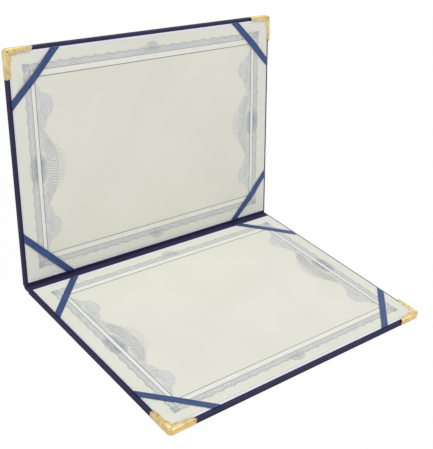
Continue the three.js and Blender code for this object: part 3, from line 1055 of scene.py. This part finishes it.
def make_ribbons():
    for panel, bow in RIBBON_BOW.items():
        outer = ribbon_pattern(bow, 1.0 + bow / MM)
        hinge = outer.copy()
        hinge.data = outer.data.copy()
        bpy.context.scene.collection.objects.link(hinge)
        to_middle = Matrix.Translation((0, MIDDLE_Y, 0))
        flip = Matrix.Scale(-1, 4, (0, 1, 0))
        hinge.data.transform(to_middle @ flip @ to_middle.inverted())
        hinge.data.flip_normals()
        for end, pattern in (("outer", outer), ("hinge", hinge)):
            for side, mirrored in both_sides(panel):
                name = f"{panel}_satin_{end}_{side}"
                piece = settle(pattern, name, panel, SATIN, mirrored)
                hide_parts(f"{panel}_ribbon_{end}_{side}")
        discard(outer, hinge)


# Brass corners


def brass_pattern():
    """A brass corner for the panel's free corner at +x: a folded shell, cut to a triangle on the
    outer face and to scalloped flanges on the inner one."""
    out = BRASS_WALL + SEAT
    clear = -2 * out  # beyond the shell's walls
    top = BRASS_TOP
    low = Vector((HALF_WIDTH - BRASS_LEG, SKIN_HIGH.y - BRASS_LEG, -THICKNESS))
    high = Vector((HALF_WIDTH + out, SKIN_HIGH.y + out, top))
    piece = start("cube", size=1, location=(low + high) / 2, scale=high - low)

    def at_corner(point):
        return point.x > HALF_WIDTH and point.y > SKIN_HIGH.y

    pick(piece, "EDGE", lambda edge: all(map(at_corner, edge_ends(piece, edge))))
    bpy.ops.mesh.bevel(offset=CORNER_RADIUS + out, segments=CORNER_SEGMENTS, affect="EDGES")
    done(piece)
    pick(piece, "FACE", lambda face: face.normal.x < -0.9 or face.normal.y < -0.9)
    bpy.ops.mesh.delete(type="FACE")
    done(piece)

    def folded(edge):
        a, b = edge_ends(piece, edge)
        flat = abs(a.z - b.z) < NEAR
        inner = max(a.x, b.x) < low.x + NEAR or max(a.y, b.y) < low.y + NEAR
        return flat and not inner

    pick(piece, "EDGE", folded)
    bpy.ops.mesh.bevel(offset=BRASS_FOLD, segments=EDGE_SEGMENTS, affect="EDGES")
    done(piece)
    outward(piece)
    finish_with(piece, "SOLIDIFY", thickness=BRASS_WALL, offset=-1)

    def from_corner(points):
        return [(HALF_WIDTH - u, SKIN_HIGH.y - v) for u, v in points]

    leg = BRASS_LEG
    shoulder_run, shoulder_width = FLANGE_SHOULDER
    side = [
        (leg, clear),
        (leg, FLANGE_TIP),
        (leg - shoulder_run * FLANGE_END_RUN, FLANGE_NARROW * shoulder_width),
        (leg - FLANGE_END_RUN, FLANGE_NARROW),
    ]
    for step in range(SCALLOP_STEPS + 1):
        turn = step / SCALLOP_STEPS * math.pi / 2
        side.append((
            SCALLOP_START + SCALLOP_RUN * (1 - math.sin(turn)),
            FLANGE_NARROW + (FLANGE_WIDE - FLANGE_NARROW) * (1 - math.cos(turn))))
    other_side = [(v, u) for u, v in side[::-1]]
    flange = [(clear, clear)] + side + [(FLANGE_WIDE, FLANGE_WIDE)] + other_side
    bowed = []
    for step in range(PLATE_STEPS + 1):
        share = step / PLATE_STEPS
        bow = PLATE_BOW * 4 * share * (1 - share)
        bowed.append((leg * (1 - share) - bow, leg * share - bow))
    plate = [(clear, clear), (leg, clear)] + bowed + [(clear, leg)]
    halfway = -THICKNESS / 2
    keep = prism(from_corner(flange), halfway, 2 * THICKNESS)
    carve(keep, prism(from_corner(plate), -2 * THICKNESS, halfway), "UNION")
    carve(piece, keep, "INTERSECT")
    hole = start("cylinder", vertices=MITRE_HOLE_SIDES, radius=MITRE_HOLE, depth=THICKNESS,
                 location=(HALF_WIDTH - MITRE_HOLE_INSET, SKIN_HIGH.y - MITRE_HOLE_INSET, top))
    carve(piece, hole, "DIFFERENCE")
    slit_length = (FLANGE_WIDE - MITRE_HOLE_INSET) * math.sqrt(2) + MITRE_OVERRUN
    middle = MITRE_HOLE_INSET + slit_length / 2 / math.sqrt(2)
    slit = start("cube", size=1, location=(HALF_WIDTH - middle, SKIN_HIGH.y - middle, top),
                 rotation=(0, 0, math.pi / 4), scale=(slit_length, MITRE_GAP, MITRE_CUT_HEIGHT))
    carve(piece, slit, "DIFFERENCE")
    finish_with(piece, "BEVEL", width=BRASS_BURR, segments=2, limit_method="ANGLE",
                angle_limit=BRASS_SHARP)
    outward(piece)
    smooth(piece, 40)
    return piece


def make_brass():
    pattern = brass_pattern()
    for panel in PANEL_PLACE:
        for side, mirrored in both_sides(panel):
            name = f"{panel}_folded_brass_{side}"
            piece = settle(pattern, name, panel, BRASS, mirrored)
            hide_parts(f"{panel}_brass_corner_{side}")
    discard(pattern)


# Stage


def make_camera():
    aim = Vector((
        math.sin(CAMERA_HEADING) * math.cos(CAMERA_DIP),
        math.cos(CAMERA_HEADING) * math.cos(CAMERA_DIP),
        -math.sin(CAMERA_DIP),
    ))
    data = bpy.data.cameras.new("camera")
    data.lens = CAMERA_LENS
    camera = bpy.data.objects.new("camera", data)
    bpy.context.scene.collection.objects.link(camera)
    camera.rotation_mode = "QUATERNION"
    camera.rotation_quaternion = aim.to_track_quat("-Z", "Y") @ Quaternion((0, 0, 1), CAMERA_ROLL)
    camera.location = CAMERA_AT
    bpy.context.scene.camera = camera


def straight_to_eye(tree):
    """1 for what is seen straight, mirrored or through, and 0 for light that falls on the object."""
    path = add(tree, "LightPath").outputs
    mirrored = add(tree, "Math", {0: path["Is Camera Ray"], 1: path["Is Glossy Ray"]},
                   operation="MAXIMUM")
    through = add(tree, "Math", {0: mirrored.outputs["Value"], 1: path["Is Transmission Ray"]},
                  operation="MAXIMUM")
    return through.outputs["Value"]


def make_floor():
    floor = start("plane", size=FLOOR_SIZE)
    floor.name = "floor"
    made, tree, shader, _ = material("white_table")
    shader.inputs["Base Color"].default_value = linear("#F2F2F2")
    shader.inputs["Roughness"].default_value = 0.9
    glow = add(tree, "Emission", {"Color": linear("#FFFFFF"), "Strength": 1.0})
    seen = add(tree, "Math", {0: straight_to_eye(tree), 1: FLOOR_SHOWN_WHITE}, operation="MULTIPLY")
    mixed = add(tree, "MixShader", {
        0: seen.outputs["Value"], 1: shader.outputs["BSDF"], 2: glow.outputs["Emission"]})
    tree.links.new(mixed.outputs["Shader"], tree.nodes["Material Output"].inputs["Surface"])
    floor.data.materials.append(made)


def make_light():
    world = bpy.data.worlds.new("studio")
    bpy.context.scene.world = world
    world.use_nodes = True
    tree = world.node_tree
    sky = tree.nodes["Background"]
    sky.inputs["Color"].default_value = linear("#FFFFFF")
    sky.inputs["Strength"].default_value = WORLD_LIGHT
    white = add(tree, "Background", {"Color": linear("#FFFFFF"), "Strength": 1.0})
    mixed = add(tree, "MixShader", {
        0: straight_to_eye(tree), 1: sky.outputs["Background"], 2: white.outputs["Background"]})
    tree.links.new(mixed.outputs["Shader"], tree.nodes["World Output"].inputs["Surface"])
    for name, place, size, power in LAMPS:
        data = bpy.data.lights.new(name, "AREA")
        data.shape = "DISK"
        data.size = size
        data.energy = power
        lamp = bpy.data.objects.new(name, data)
        lamp.location = place
        lamp.rotation_mode = "QUATERNION"
        lamp.rotation_quaternion = (LAMP_AIM - lamp.location).to_track_quat("-Z", "Y")
        bpy.context.scene.collection.objects.link(lamp)


bpy.context.scene.view_settings.view_transform = "Standard"
make_camera()
make_skins()
make_padding()
make_spine()
make_sheets()
make_print()
make_ribbons()
make_brass()
make_floor()
make_light()
